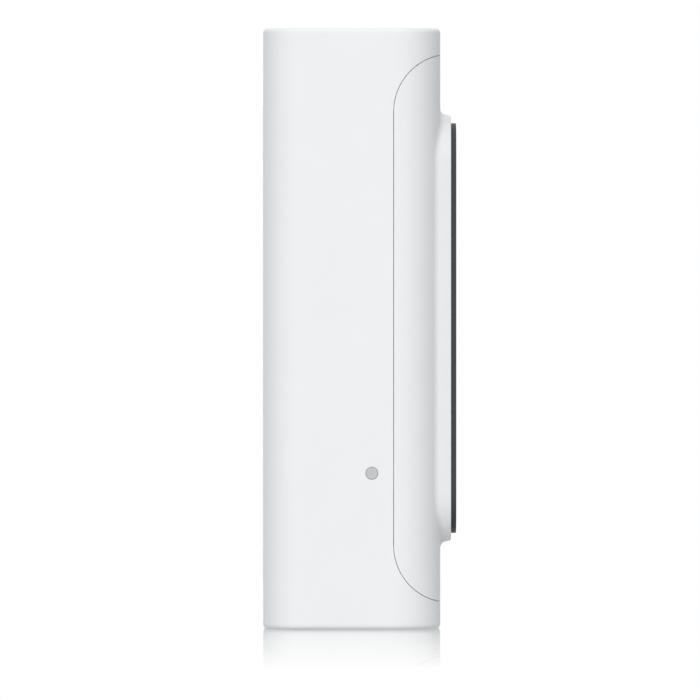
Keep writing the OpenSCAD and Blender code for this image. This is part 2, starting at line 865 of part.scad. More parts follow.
module speaker_frame() color("dimgray")
    difference() {
        storey(-66.4, -61) speaker_outline(0);
        storey(-66.5, -62.2) speaker_outline(1.5);
        post([speaker_x, speaker_d], 5.6, -62.3, -60.9);
    }

module speaker_cone() color("black")
    difference() {
        union() {
            storey(-66.2, -65.8) speaker_outline(1.6);
            intersection() {
                translate([speaker_x, -speaker_d, -66.2]) sphere(r = 4);
                post([speaker_x, speaker_d], 4.2, -66, -64);
            }
        }
        translate([speaker_x, -speaker_d, -66.5]) sphere(r = 3.5);
    }

module speaker_magnet() color("silver")
    difference() {
        post([speaker_x, speaker_d], 5.5, -65, -59.9);
        post([speaker_x, speaker_d], 4.4, -65.1, -61.9);
    }

module speaker_gasket() color("black")
    storey(-67.5, -66.4)
        difference() {
            speaker_outline(0);
            speaker_outline(1.6);
        }

// ---- Charging socket and its door ----

module usb_socket() color("silver")
    translate([usb_x, -usb_d, 0])
        union() {
            difference() {
                storey(-66.6, -59.6) rounded(9, 3.2, 1.55);
                storey(-66.7, -60.4) rounded(8.4, 2.6, 1.25);
            }
            storey(-66, -60.3) square([6.7, 0.7], center = true);
        }

module usb_board() color("darkgreen")
    block([6.5, 19.5], [17.3, 18.35], [-64.6, -59.6]);

module usb_door() color("whitesmoke")
    union() {
        block(door_x, [usb_d - door_half, usb_d + door_half], [-half_h, -half_h + door_t]);
        rod([door_x[1], door_axis_z], 1.1, usb_d - door_half, usb_d + door_half);
        rod([door_x[1], door_axis_z], door_pin_r, usb_d - 4.6, usb_d + 4.6);
        storey(-half_h + door_t - eps, -half_h + 2.4)
            translate([usb_x, -usb_d]) rounded(7.6, 2.4, 1.1);
    }

main_housing();
front_cover();
cover_seal();
front_glass();
glass_adhesive();
wall_bracket();
bracket_screw();
cover_screws();
chassis();
chassis_screws();
board_screws();
camera_bezel();
camera_window();
camera_plate();
lens_barrel();
front_lens();
lens_holder();
filter_slider();
filter_panes();
filter_coil();
sensor_board();
image_sensor();
front_board();
ir_leds();
ir_light_tubes();
light_sensor();
pir_lens();
pir_sensor();
mic_boot();
mic_module();
button_cap();
button_ring();
button_dome();
ring_leds();
light_baffle();
setup_button();
setup_plunger();
setup_switch();
side_board();
main_board();
soc_shield();
heat_spreader();
board_chips();
board_connectors();
camera_flex();
front_flex();
antenna();
vent_membrane();
terminal_block();
terminal_screws();
battery_cells();
battery_tray();
battery_contacts();
speaker_frame();
speaker_cone();
speaker_magnet();
speaker_gasket();
usb_socket();
usb_board();
usb_door();
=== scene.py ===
"""Looks of a white battery video doorbell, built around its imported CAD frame.

Modelling is in millimetres and turned into metres when a piece is made. A depth is a distance
from the wall, so the point (x, depth, z) lies at y = -depth.
"""
import json
import math

import bmesh
import bpy
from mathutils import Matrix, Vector
from mathutils.bvhtree import BVHTree
from mathutils.interpolate import poly_3d_calc


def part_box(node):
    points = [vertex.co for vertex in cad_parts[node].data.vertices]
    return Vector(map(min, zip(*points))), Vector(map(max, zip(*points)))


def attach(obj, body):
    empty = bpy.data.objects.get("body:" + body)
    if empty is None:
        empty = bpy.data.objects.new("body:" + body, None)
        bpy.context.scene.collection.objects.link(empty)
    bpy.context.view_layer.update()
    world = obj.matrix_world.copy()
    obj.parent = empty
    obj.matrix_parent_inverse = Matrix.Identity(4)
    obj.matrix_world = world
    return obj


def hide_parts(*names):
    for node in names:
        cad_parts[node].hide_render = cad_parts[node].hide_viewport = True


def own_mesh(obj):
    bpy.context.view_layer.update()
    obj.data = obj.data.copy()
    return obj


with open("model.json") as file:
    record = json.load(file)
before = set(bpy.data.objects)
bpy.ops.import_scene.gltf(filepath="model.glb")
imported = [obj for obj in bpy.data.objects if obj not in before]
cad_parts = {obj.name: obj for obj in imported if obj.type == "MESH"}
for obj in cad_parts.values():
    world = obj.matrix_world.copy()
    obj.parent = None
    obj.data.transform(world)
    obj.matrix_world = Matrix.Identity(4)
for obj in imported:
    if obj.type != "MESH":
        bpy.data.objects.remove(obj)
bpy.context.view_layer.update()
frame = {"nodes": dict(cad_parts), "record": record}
MM = 0.001


def box_mm(node):
    """Limits of a CAD node in millimetres: ((x0, x1), (depth0, depth1), (z0, z1))."""
    low, high = (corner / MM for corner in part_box(node))
    return (low.x, high.x), (-high.y, -low.y), (low.z, high.z)


# ---- Sizes, from the frame where it has them ----
(_, HALF_W), (_, BODY_D), (_, HALF_H) = box_mm("main_housing")
PLINTH_D = box_mm("front_cover")[1][1]
GLASS_W, (_, GLASS_D), GLASS_H = box_mm("front_glass")
FRONT_R, REAR_R, RIM_R = 10.9, 9.3, 1.1
SKIN = 0.04  # the outer skin lies this far inside the CAD's facets
SEAM_D, SEAM_R, SEAM_GAP = BODY_D - 11.0, 13.5, 0.1
SEAM_HALF = HALF_H - 6.05
PLINTH_W, PLINTH_H, PLINTH_R = 35.8, 99.1, 10.7
PLINTH_DRAFT, PLINTH_EDGE = math.radians(15), 0.3
ROOT_END_R, ROOT_SIDE_R = 1.5, 2.1
PANEL_IN = PLINTH_D - 2
BUTTON_Z = sum(box_mm("button_cap")[2]) / 2
CAMERA_Z = sum(box_mm("camera_window")[2]) / 2
PIR_Z = sum(box_mm("pir_lens")[2]) / 2
IR_Z = sum(box_mm("light_sensor")[2]) / 2
MIC_Z = sum(box_mm("mic_boot")[2]) / 2
IR_X = 7.0
WALL = 2.2
# Rear recess round the bracket, the openings of the rear face and those of the lower end
RECESS_W, RECESS_H, RECESS_R, RECESS_Z, RECESS_D = 28.8, 112.3, 3, -3.85, 3.6
COVER_SCREW_X, COVER_SCREW_Z, COVER_SCREW_MOUTH_R = 11.5, 56.5, 2.6
VENT_R, VENT_Z = 0.8, 60
SLOT_W, SLOT_LONG, SLOT_PITCH, SLOT_X = 1.4, 11, 2.6, -8.5
DOOR_W, DOOR_LONG, DOOR_X = 15.5, 7.6, 14.45
END_D = 20  # depth of the slots' and the door's middle
LOCK_SCREW_R, LOCK_SCREW_D = 3, 5
BUTTON_R, RING_R = 9.3, 11.65
BEZEL_R, WINDOW_R, MIC_R, SETUP_R = 8.45, 6.5, 0.6, 1.4
PIR_W, PIR_H = 17.0, 7.6
GLASS_WIDE, GLASS_TALL, GLASS_R = GLASS_W[1] - GLASS_W[0], GLASS_H[1] - GLASS_H[0], 10.3


# ---- Points ----
def arc(cx, cy, r, start, end, steps):
    """Points of an arc given in degrees, both ends included."""
    angles = [math.radians(start + (end - start) * i / steps) for i in range(steps + 1)]
    return [(cx + r * math.cos(a), cy + r * math.sin(a)) for a in angles]


def corner_run(corners, steps, support=0.5):
    """Closed outline through rounded corners (cx, cy, r, start angle), each turning 90 degrees.

    Returns (point, outward normal) pairs, with a support point on the flat on each side of an arc.
    """
    run = []
    for cx, cy, r, start in corners:
        for i in range(-1, steps + 2):
            a = math.radians(start + 90 * min(max(i, 0), steps) / steps)
            normal = (math.cos(a), math.sin(a))
            slide = -support if i < 0 else support if i > steps else 0
            point = (cx + r * normal[0] - slide * normal[1], cy + r * normal[1] + slide * normal[0])
            run.append((point, normal))
    return run


def rounded_run(w, h, r, steps=20, support=0.4):
    x, y = w / 2 - r, h / 2 - r
    return corner_run([(x, y, r, 0), (-x, y, r, 90), (-x, -y, r, 180), (x, -y, r, 270)],
                      steps, support)


def rounded(w, h, r, steps=20, support=0.4):
    return [p for p, _ in rounded_run(w, h, r, steps, support)]


def body_plan(inset, steps=28):
    """Plan outline of the body as (x, depth) points."""
    half, front, rear = HALF_W - inset, FRONT_R - inset, REAR_R - inset
    corners = [
        (half - front, BODY_D - FRONT_R, front, 0),
        (front - half, BODY_D - FRONT_R, front, 90),
        (rear - half, REAR_R, rear, 180),
        (half - rear, REAR_R, rear, 270),
    ]
    return [p for p, _ in corner_run(corners, steps)]


def circle(r, steps=64):
    return [(r * math.cos(2 * math.pi * i / steps), r * math.sin(2 * math.pi * i / steps))
            for i in range(steps)]


# ---- Meshes ----
def loft(rings, closed=False):
    """A closed solid through rings of equally many 3-D points, capped at both ends or joined up."""
    bm = bmesh.new()
    rows = [[bm.verts.new(Vector(p) * MM) for p in ring] for ring in rings]
    pairs = list(zip(rows, rows[1:] + rows[:1])) if closed else list(zip(rows, rows[1:]))
    for low, high in pairs:
        for i in range(len(low)):
            j = (i + 1) % len(low)
            bm.faces.new((low[i], low[j], high[j], high[i]))
    if not closed:
        bm.faces.new(rows[0])
        bm.faces.new(rows[-1])
    bmesh.ops.recalc_face_normals(bm, faces=bm.faces)
    return bm


def at_depth(outline, depth, at=(0, 0)):
    return [(at[0] + u, -depth, at[1] + v) for u, v in outline]


def at_height(outline, z, at=(0, 0)):
    """Outline given as (x, depth) points."""
    return [(at[0] + u, -(at[1] + v), z) for u, v in outline]


def mesh_object(name, bm, smooth_angle=32):
    mesh = bpy.data.meshes.new(name)
    bm.to_mesh(mesh)
    bm.free()
    mesh.shade_smooth()
    mesh.set_sharp_from_angle(angle=math.radians(smooth_angle))
    made = bpy.data.objects.new(name, mesh)
    bpy.context.scene.collection.objects.link(made)
    return made


def lathe(profile, at, axis="depth", steps=96):
    """A turned solid: profile is (radius, level) points, from the axis round and back to it or closed."""
    rings = []
    hollow = min(r for r, _ in profile) > 1e-6
    for r, level in profile:
        ring = circle(max(r, 1e-3), steps)
        if axis == "depth":
            rings.append(at_depth(ring, level, at))
        elif axis == "height":
            rings.append(at_height(ring, level, at))
        else:  # along X, at = (depth, z)
            rings.append([(level, -(at[0] + u), at[1] + v) for u, v in ring])
    return loft(rings, closed=hollow)


def slab(outline_of, profile, at=(0, 0), axis="depth"):
    """A plate whose outline is inset along its thickness: profile is (inset, level) points."""
    place = at_depth if axis == "depth" else at_height
    return loft([place(outline_of(inset), level, at) for inset, level in profile])


def eased(level0, level1, edge, steps=3, flat=0.4):
    """Profile of a plate with both edges rounded, and a support ring on each flat face."""
    low = [(edge * (1 - math.sin(a)), level0 + edge * (1 - math.cos(a)))
           for a in (math.pi / 2 * i / steps for i in range(steps + 1))]
    high = [(inset, level1 - (level - level0)) for inset, level in reversed(low)]
    return [(edge + flat, level0)] + low + high + [(edge + flat, level1)]


def cut(target, cutter, operation="DIFFERENCE"):
    """Applies a boolean to target and removes the cutter."""
    if isinstance(cutter, bmesh.types.BMesh):
        cutter = mesh_object("cutter", cutter)
    change = target.modifiers.new("cut", "BOOLEAN")
    change.operation = operation
    change.solver = "MANIFOLD"
    change.object = cutter
    apply_modifiers(target)
    bpy.data.objects.remove(cutter)
    return target


def apply_modifiers(target):
    bpy.context.view_layer.update()
    graph = bpy.context.evaluated_depsgraph_get()
    mesh = bpy.data.meshes.new_from_object(target.evaluated_get(graph))
    target.modifiers.clear()
    target.data = mesh


def cad_copy(node, name):
    """A welded copy of a CAD node's mesh as a new object."""
    bm = bmesh.new()
    bm.from_mesh(frame["nodes"][node].data)
    bmesh.ops.remove_doubles(bm, verts=bm.verts, dist=2e-7)
    copy = mesh_object(name, bm)
    copy.data.materials.clear()
    return copy


def weighted(target, smooth_angle=32):
    """Shades curved stretches smoothly and lets the large flat faces keep their own normal."""
    target.data.shade_smooth()
    target.data.set_sharp_from_angle(angle=math.radians(smooth_angle))
    change = target.modifiers.new("normals", "WEIGHTED_NORMAL")
    change.keep_sharp = True
    change.weight = 60
    return target


def bevelled(target, width, segments=2):
    """Rounds the hard edges of a blocky solid, after joining the triangles of its flat faces."""
    bm = bmesh.new()
    bm.from_mesh(target.data)
    bmesh.ops.dissolve_limit(bm, angle_limit=math.radians(0.6), verts=bm.verts, edges=bm.edges)
    hard = [e for e in bm.edges if len(e.link_faces) == 2 and e.calc_face_angle() > math.radians(35)]
    bmesh.ops.bevel(bm, geom=hard, offset=width * MM, segments=segments, profile=0.5,
                    affect="EDGES", clamp_overlap=True)
    bm.to_mesh(target.data)
    bm.free()
    return weighted(target)


def eased_mouth(outline_of, face, edge, inward, steps=4, at=(0, 0), axis="depth"):
    """Cutter that rounds the rim of an opening: face is the level of its surface, inward the
    direction (+1 or -1) in which the opening goes."""
    profile = [(-edge, face - 0.2 * inward)]
    for i in range(steps + 1):
        t = edge * i / steps
        profile.append((-(edge - math.sqrt(max(edge ** 2 - (edge - t) ** 2, 0))), face + inward * t))
    profile.append((0.02, face + inward * (edge + 0.05)))
    return slab(outline_of, profile, at, axis)


def piece(made, body, slot_name, *nodes):
    """Hands a finished piece to the frame: its body, its finish and the CAD nodes it stands for."""
    made.data.materials.clear()
    made.data.materials.append(MATERIALS[slot_name])
    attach(made, body)
    if nodes:
        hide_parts(*nodes)
    return made


# ---- Materials ----
class Nodes:
    """Short calls for building a node material in object space, where 1 unit is a metre."""

    def __init__(self, name, is_world=False):
        if is_world:
            self.owner = bpy.data.worlds.new(name)
        else:
            self.owner = bpy.data.materials.new(name)
        self.owner.use_nodes = True
        self.tree = self.owner.node_tree
        self.tree.nodes.clear()

    def add(self, kind, inputs=None, **settings):
        node = self.tree.nodes.new(kind)
        for key, value in settings.items():
            setattr(node, key, value)
        for key, value in (inputs or {}).items():
            self.feed(node.inputs[key], value)
        return node

    def feed(self, socket, value):
        if isinstance(value, bpy.types.NodeSocket):
            self.tree.links.new(value, socket)
        elif isinstance(value, bpy.types.Node):
            self.tree.links.new(value.outputs[0], socket)
        else:
            socket.default_value = value

    def math(self, operation, a, b=0.0, clamp=False):
        node = self.add("ShaderNodeMath", {0: a, 1: b}, operation=operation, use_clamp=clamp)
        return node.outputs[0]

    def place(self):
        return self.add("ShaderNodeTexCoord").outputs["Object"]

    def noise(self, size_mm, detail=2.0, roughness=0.5, stretch=(1, 1, 1)):
        """Noise whose features are about size_mm wide, from 0 to 1."""
        scaled = self.add("ShaderNodeMapping", {"Vector": self.place(), "Scale": stretch})
        node = self.add("ShaderNodeTexNoise", {
            "Vector": scaled, "Scale": 1 / (size_mm * MM), "Detail": detail, "Roughness": roughness})
        return node.outputs["Fac"]

    def ramp(self, factor, stops):
        """Colours (position, colour) along a factor."""
        node = self.add("ShaderNodeValToRGB", {"Fac": factor})
        elements = node.color_ramp.elements
        while len(elements) < len(stops):
            elements.new(0.5)
        for element, (position, colour) in zip(elements, stops):
            element.position = position
            element.color = (*colour, 1)
        return node.outputs["Color"]

    def span(self, factor, low, high, start=0.0, end=1.0):
        node = self.add("ShaderNodeMapRange", {
            "Value": factor, "From Min": start, "From Max": end, "To Min": low, "To Max": high})
        return node.outputs["Result"]

    def mix(self, factor, a, b):
        node = self.add("ShaderNodeMix", data_type="RGBA")
        for key, value in ((0, factor), (6, a), (7, b)):
            self.feed(node.inputs[key], value)
        return node.outputs[2]

    def bump(self, height, depth_mm, strength=1.0, normal=None):
        inputs = {"Height": height, "Distance": depth_mm * MM, "Strength": strength}
        if normal is not None:
            inputs["Normal"] = normal
        return self.add("ShaderNodeBump", inputs).outputs["Normal"]

    def surface(self, shader, output="ShaderNodeOutputMaterial"):
        self.add(output, {"Surface": shader})
        return self.owner


def shade(c, k):
    return tuple(min(x * k, 1) for x in c)


def plastic(name, colour, rough=0.45, grain=0.25, grain_depth=0.004, mottle=0.03, specular=0.5,
            **extra):
    """Moulded plastic: a fine spark-eroded grain, with a faint large mottle in tone and gloss."""
    n = Nodes(name)
    cloud = n.noise(9, 3)
    fine = n.noise(grain, 3, 0.6)
    base = n.ramp(cloud, [(0.3, shade(colour, 1 - mottle)), (0.7, colour)])
    inputs = {
        "Base Color": base,
        "Roughness": n.span(fine, rough - 0.05, rough + 0.05, 0.3, 0.7),
        "Specular IOR Level": specular,
        "Normal": n.bump(fine, grain_depth),
    }
    inputs.update(extra)
    return n.surface(n.add("ShaderNodeBsdfPrincipled", inputs))


def metal(name, colour, rough=0.3, brush=(1, 1, 1), size=0.6, depth=0.003, wear=0.1):
    """Metal whose grain runs along the axis that brush squeezes, with slightly duller patches."""
    n = Nodes(name)
    grain = n.noise(size, 4, 0.6, brush)
    patch = n.noise(6, 2)
    return n.surface(n.add("ShaderNodeBsdfPrincipled", {
        "Base Color": n.ramp(patch, [(0.25, shade(colour, 1 - wear)), (0.75, colour)]),
        "Metallic": 1.0,
        "Roughness": n.span(grain, rough - 0.08, rough + 0.1, 0.25, 0.75),
        "Normal": n.bump(grain, depth),
    }))


def glass(name, colour, rough=0.02, ior=1.5):
    """Clear part with very faint haze from handling."""
    n = Nodes(name)
    haze = n.noise(3, 4, 0.7)
    return n.surface(n.add("ShaderNodeBsdfPrincipled", {
        "Base Color": n.ramp(haze, [(0.3, shade(colour, 0.97)), (0.7, colour)]),
        "Transmission Weight": 1.0,
        "IOR": ior,
        "Roughness": n.span(haze, rough, rough + 0.03, 0.5, 0.8),
    }))


def black_glass():
    """Back-printed cover glass; the print is thinner over the infrared lamps and the light sensor."""
    n = Nodes("black_glass")
    haze = n.noise(14, 4, 0.6)
    print_tone = n.ramp(n.noise(0.9, 2), [(0.3, (0.0065, 0.0068, 0.0075)), (0.7, (0.008, 0.0083, 0.009))])
    windows = None
    for x in (-IR_X, 0, IR_X):
        centre = (x * MM, -GLASS_D * MM, IR_Z * MM)
        reach = n.add("ShaderNodeVectorMath", {0: n.place(), 1: centre}, operation="DISTANCE")
        radius = (1.3 if x == 0 else 2.3) * MM
        inside = n.span(reach.outputs["Value"], 1.0, 0.0, radius * 0.94, radius * 1.06)
        windows = inside if windows is None else n.math("MAXIMUM", windows, inside)
    return n.surface(n.add("ShaderNodeBsdfPrincipled", {
        "Base Color": n.mix(windows, print_tone, (0.02, 0.006, 0.008, 1)),
        "Roughness": n.span(haze, 0.045, 0.09, 0.35, 0.75),
        "IOR": 1.52,
        "Coat Weight": 0.35,
        "Coat Roughness": 0.03,
    }))


def ground_edge():
    """Ground and blackened edge of the cover glass."""
    n = Nodes("ground_edge")
    fine = n.noise(0.12, 3, 0.6)
    return n.surface(n.add("ShaderNodeBsdfPrincipled", {
        "Base Color": n.ramp(fine, [(0.3, (0.055, 0.056, 0.059)), (0.7, (0.07, 0.071, 0.075))]),
        "Roughness": n.span(fine, 0.45, 0.6, 0.3, 0.7),
        "Specular IOR Level": 0.2,
        "Normal": n.bump(fine, 0.004),
    }))


def motion_window():
    """Black-tinted polyethylene lens, moulded with a fine grid of lenslets."""
    n = Nodes("motion_window")
    fine = n.noise(0.5, 3)
    return n.surface(n.add("ShaderNodeBsdfPrincipled", {
        "Base Color": n.ramp(n.noise(4, 2), [(0.3, (0.012, 0.0125, 0.014)), (0.7, (0.017, 0.0175, 0.019))]),
        "Roughness": n.span(fine, 0.3, 0.42, 0.3, 0.7),
        "IOR": 1.5,
        "Normal": n.bump(fine, 0.003),
    }))


def light_ring():
    """Frosted light guide, milky and slightly lighter at its core."""
    n = Nodes("light_ring")
    cloud = n.noise(1.6, 3)
    return n.surface(n.add("ShaderNodeBsdfPrincipled", {
        "Base Color": n.ramp(cloud, [(0.3, (0.62, 0.64, 0.66)), (0.7, (0.7, 0.72, 0.74))]),
        "Roughness": n.span(cloud, 0.3, 0.42, 0.3, 0.7),
        "Subsurface Weight": 0.3,
        "Subsurface Radius": (0.0012, 0.0012, 0.0014),
        "Subsurface Scale": 0.6,
        "Normal": n.bump(n.noise(0.18, 2), 0.002),
    }))


def coated_lens():
    """Front lens element: a dark pupil under a coating, whose violet and green glint is a painted reflection
    in the base colour, stronger where the surface is seen at a slant.
    """
    n = Nodes("lens_glass")
    # Painted reflection: the base colour turns from the dark pupil to green-blue and violet as the surface
    # turns away from the view, with a faint random shift
    edge = n.add("ShaderNodeLayerWeight", {"Blend": 0.35}).outputs["Facing"]
    tone = n.ramp(n.math("ADD", edge, n.span(n.noise(2.5, 2), -0.05, 0.05)),
                  [(0.0, (0.012, 0.01, 0.03)), (0.35, (0.02, 0.03, 0.05)), (0.8, (0.04, 0.02, 0.07))])
    return n.surface(n.add("ShaderNodeBsdfPrincipled", {
        "Base Color": tone,
        "Roughness": 0.03,
        "IOR": 1.6,
        "Coat Weight": 1.0,
        "Coat Roughness": 0.02,
        "Coat Tint": (0.75, 0.8, 1.0, 1),
    }))


def circuit_board():
    """Green solder mask over copper tracks, with tinned pads."""
    n = Nodes("circuit_board")
    cells = n.add("ShaderNodeTexVoronoi", {"Vector": n.place(), "Scale": 620},
                  distance="CHEBYCHEV", feature="DISTANCE_TO_EDGE")
    track = n.span(cells.outputs["Distance"], 1.0, 0.0, 0.05, 0.09)
    dots = n.add("ShaderNodeTexVoronoi", {"Vector": n.place(), "Scale": 900}, feature="F1")
    pad = n.span(dots.outputs["Distance"], 1.0, 0.0, 0.16, 0.2)
    mask = n.mix(track, (0.008, 0.05, 0.022, 1), (0.016, 0.085, 0.036, 1))
    tone = n.mix(pad, mask, (0.55, 0.53, 0.48, 1))
    height = n.math("ADD", n.math("MULTIPLY", track, 0.6), pad)
    return n.surface(n.add("ShaderNodeBsdfPrincipled", {
        "Base Color": tone,
        "Metallic": n.math("MULTIPLY", pad, 0.9),
        "Roughness": n.span(n.noise(0.7, 2), 0.28, 0.4),
        "Normal": n.bump(height, 0.03),
    }))


def film(name, colour):
    """Polyimide film with fine parallel tracks showing through."""
    n = Nodes(name)
    wave = n.add("ShaderNodeTexWave", {"Vector": n.place(), "Scale": 480, "Distortion": 0.0},
                 wave_type="BANDS", bands_direction="X")
    tone = n.ramp(wave.outputs["Fac"], [(0.35, shade(colour, 0.6)), (0.6, colour)])
    return n.surface(n.add("ShaderNodeBsdfPrincipled", {
        "Base Color": tone,
        "Roughness": n.span(n.noise(1.2, 2), 0.22, 0.38),
        "Normal": n.bump(wave.outputs["Fac"], 0.015),
    }))


def woven(name, colour, pitch_mm):
    """Fine woven cloth, as over a vent."""
    n = Nodes(name)
    threads = [n.add("ShaderNodeTexWave", {"Vector": n.place(), "Scale": 0.16 / (pitch_mm * MM)},
                     wave_type="BANDS", bands_direction=axis).outputs["Fac"] for axis in ("X", "Z")]
    weave = n.math("MAXIMUM", *threads)
    return n.surface(n.add("ShaderNodeBsdfPrincipled", {
        "Base Color": n.ramp(weave, [(0.3, shade(colour, 0.7)), (0.8, colour)]),
        "Roughness": n.span(weave, 0.9, 0.75),
        "Sheen Weight": 0.2,
        "Normal": n.bump(weave, 0.05),
    }))


WHITE = (0.868, 0.884, 0.893)
MATERIALS = {
    "white_shell": plastic("white_shell", WHITE, 0.52, 0.22, 0.0022, 0.012, 0.35),
    "white_trim": plastic("white_trim", shade(WHITE, 0.98), 0.5, 0.22, 0.003, 0.012, 0.35),
    "black_glass": black_glass(),
    "grey_button": plastic("grey_button", (0.56, 0.565, 0.575), 0.48, 0.16, 0.002, 0.02),
    "black_rubber": plastic("black_rubber", (0.016, 0.016, 0.017), 0.72, 0.3, 0.01, 0.25, 0.3,
                            **{"Sheen Weight": 0.15}),
    "foam_tape": plastic("foam_tape", (0.035, 0.035, 0.037), 0.9, 0.25, 0.05, 0.3, 0.2),
    "bracket_metal": plastic("bracket_metal", (0.62, 0.63, 0.64), 0.5, 0.45, 0.012, 0.03, 0.5),
    "screw_steel": metal("screw_steel", (0.58, 0.57, 0.55), 0.3),
    "screw_brass": metal("screw_brass", (0.72, 0.52, 0.24), 0.3),
    "dark_plastic": plastic("dark_plastic", (0.045, 0.046, 0.049), 0.5, 0.3, 0.008, 0.15),
    "bezel_metal": metal("bezel_metal", (0.075, 0.078, 0.085), 0.32, (1, 0.08, 1), 0.12, 0.0015),
    "black_metal": metal("black_metal", (0.03, 0.03, 0.032), 0.36, (1, 0.1, 1), 0.15, 0.002),
    "clear_glass": glass("clear_glass", (0.97, 0.98, 1.0)),
    "lens_glass": coated_lens(),
    "filter_glass": glass("filter_glass", (0.75, 0.9, 1.0)),
    "circuit_board": circuit_board(),
    "chip_black": plastic("chip_black", (0.018, 0.018, 0.02), 0.55, 0.12, 0.004, 0.2),
    "led_resin": plastic("led_resin", (0.85, 0.8, 0.52), 0.2, 0.3, 0.001, 0.1),
    "motion_window": motion_window(),
    "can_steel": metal("can_steel", (0.66, 0.66, 0.65), 0.26, (0.06, 1, 1), 0.3),
    "button_black": plastic("button_black", (0.011, 0.0112, 0.012), 0.34, 0.2, 0.0025, 0.15),
    "light_ring": light_ring(),
    "dome_silicone": plastic("dome_silicone", (0.62, 0.62, 0.6), 0.5, 0.5, 0.004, 0.06,
                             **{"Subsurface Weight": 0.25, "Subsurface Scale": 0.0006}),
    "spreader_aluminium": metal("spreader_aluminium", (0.78, 0.79, 0.8), 0.34, (0.04, 1, 1), 0.25),
    "connector_ivory": plastic("connector_ivory", (0.8, 0.75, 0.62), 0.42, 0.3, 0.004, 0.05),
    "flex_film": film("flex_film", (0.75, 0.34, 0.06)),
    "copper": metal("copper", (0.86, 0.45, 0.27), 0.28, (0.05, 1, 1), 0.2, 0.01),
    "vent_cloth": woven("vent_cloth", (0.72, 0.73, 0.74), 0.12),
    "cell_sleeve": plastic("cell_sleeve", (0.09, 0.2, 0.42), 0.26, 4, 0.02, 0.12),
    "contact_nickel": metal("contact_nickel", (0.7, 0.68, 0.63), 0.22),
    "cone_paper": plastic("cone_paper", (0.03, 0.03, 0.031), 0.85, 0.35, 0.02, 0.4, 0.2),
}


# ---- Camera, light and floor ----
def make_camera():
    """Long lens far off the left side, which keeps the view flat, looking down by half a degree."""
    data = bpy.data.cameras.new("camera")
    data.sensor_width = 36
    data.lens = 819.9
    data.clip_start, data.clip_end = 0.1, 50
    made = bpy.data.objects.new("camera", data)
    bpy.context.scene.collection.objects.link(made)
    middle_y, aim_z, away, lift = -20.3, -5.18, 3733, 25
    aim = Vector((0, middle_y, aim_z)) * MM
    made.location = Vector((-away, middle_y, lift)) * MM
    made.rotation_mode = "QUATERNION"
    made.rotation_quaternion = (aim - made.location).to_track_quat("-Z", "Y")
    bpy.context.scene.camera = made


def make_world():
    """Soft tent light, brightest from the camera's side, from above and from the white backdrop
    behind; the object's front side gets less. The backdrop itself is plain white."""
    n = Nodes("world", is_world=True)
    direction = n.add("ShaderNodeTexCoord").outputs["Generated"]
    x, y, z = n.add("ShaderNodeSeparateXYZ", {0: direction}).outputs
    total = 0.17
    down = n.math("MULTIPLY", z, -1.0)
    lobes = [(n.math("MULTIPLY", x, -1.0), 1.5, 1.15), (x, 4.0, 1.45), (z, 2.0, 1.05), (down, 1.0, 0.12)]
    for toward, tightness, strength in lobes:
        lobe = n.math("POWER", n.math("MAXIMUM", toward, 0.0), tightness)
        total = n.math("ADD", n.math("MULTIPLY", lobe, strength), total)
    total = n.math("MAXIMUM", n.math("ADD", n.math("MULTIPLY", y, 0.115), total), 0.02)
    path = n.add("ShaderNodeLightPath").outputs
    # A large soft panel that only shows as a reflection in the front's gloss
    panel_side = Vector((-0.45, -0.75, 0.5)).normalized()
    panel = n.add("ShaderNodeVectorMath", {0: direction, 1: panel_side}, operation="DOT_PRODUCT")
    spread = n.span(panel.outputs["Value"], 0.0, 1.0, 0.72, 0.95)
    glint = n.math("MULTIPLY", spread, path["Is Glossy Ray"])
    total = n.math("ADD", total, glint)
    seen = n.math("MAXIMUM", path["Is Camera Ray"], path["Is Singular Ray"])
    strength = n.math("ADD", n.math("MULTIPLY", total, n.math("SUBTRACT", 1.0, seen)), seen)
    background = n.add("ShaderNodeBackground", {"Color": (1, 1, 1, 1), "Strength": strength})
    bpy.context.scene.world = n.surface(background, "ShaderNodeOutputWorld")


def make_floor():
    """White floor that mirrors at a flat angle, fades away from the object and carries a
    painted contact shadow close to where it touches."""
    bm = bmesh.new()
    bmesh.ops.create_grid(bm, x_segments=1, y_segments=1, size=3)
    floor = mesh_object("floor", bm)
    floor.location = Vector((0, -BODY_D / 2, -HALF_H - 0.01)) * MM
    n = Nodes("floor")
    reach = n.add("ShaderNodeVectorMath", {0: n.place()}, operation="LENGTH").outputs["Value"]
    near = n.span(reach, 1.0, 0.0, 0.02, 0.36)
    gloss = n.add("ShaderNodeFresnel", {"IOR": 1.45}).outputs["Fac"]
    contact = n.add("ShaderNodeAmbientOcclusion", {"Distance": 0.012}, samples=16)
    # Seen from below, the floor isn't there
    above = n.math("SUBTRACT", 1.0, n.add("ShaderNodeNewGeometry").outputs["Backfacing"])
    # Painted contact shadow: the floor's see-through colour darkens where ambient occlusion finds the object
    # close by
    painted_contact_shadow = n.math("MULTIPLY", above, n.math("SUBTRACT", 1.0, contact.outputs["AO"]))
    tone = n.ramp(painted_contact_shadow, [(0.25, (1, 1, 1)), (1.0, (0.9, 0.9, 0.905))])
    clear = n.add("ShaderNodeBsdfTransparent", {"Color": tone})
    mirror = n.add("ShaderNodeBsdfGlossy", {"Color": (1, 1, 1, 1), "Roughness": 0.0})
    shine = n.math("MULTIPLY", above, n.math("MULTIPLY", near, gloss))
    both = n.add("ShaderNodeMixShader", {0: shine, 1: clear, 2: mirror})
    floor.data.materials.append(n.surface(both))


# ---- Shells ----
def envelope():
    """Outer skin of the whole body, with its rounded top and bottom rims."""
    profile = [(SKIN + inset, level)
               for inset, level in eased(SKIN - HALF_H, HALF_H - SKIN, RIM_R, 8, 0.6)]
    # Rings just inside the rims, so that the walls between them are shaded straight
    middle, reach = len(profile) // 2, HALF_H - SKIN - RIM_R - 0.5
    profile[middle:middle] = [(SKIN, -reach), (SKIN, reach)]
    return mesh_object("envelope", slab(body_plan, profile, axis="height"), 60)


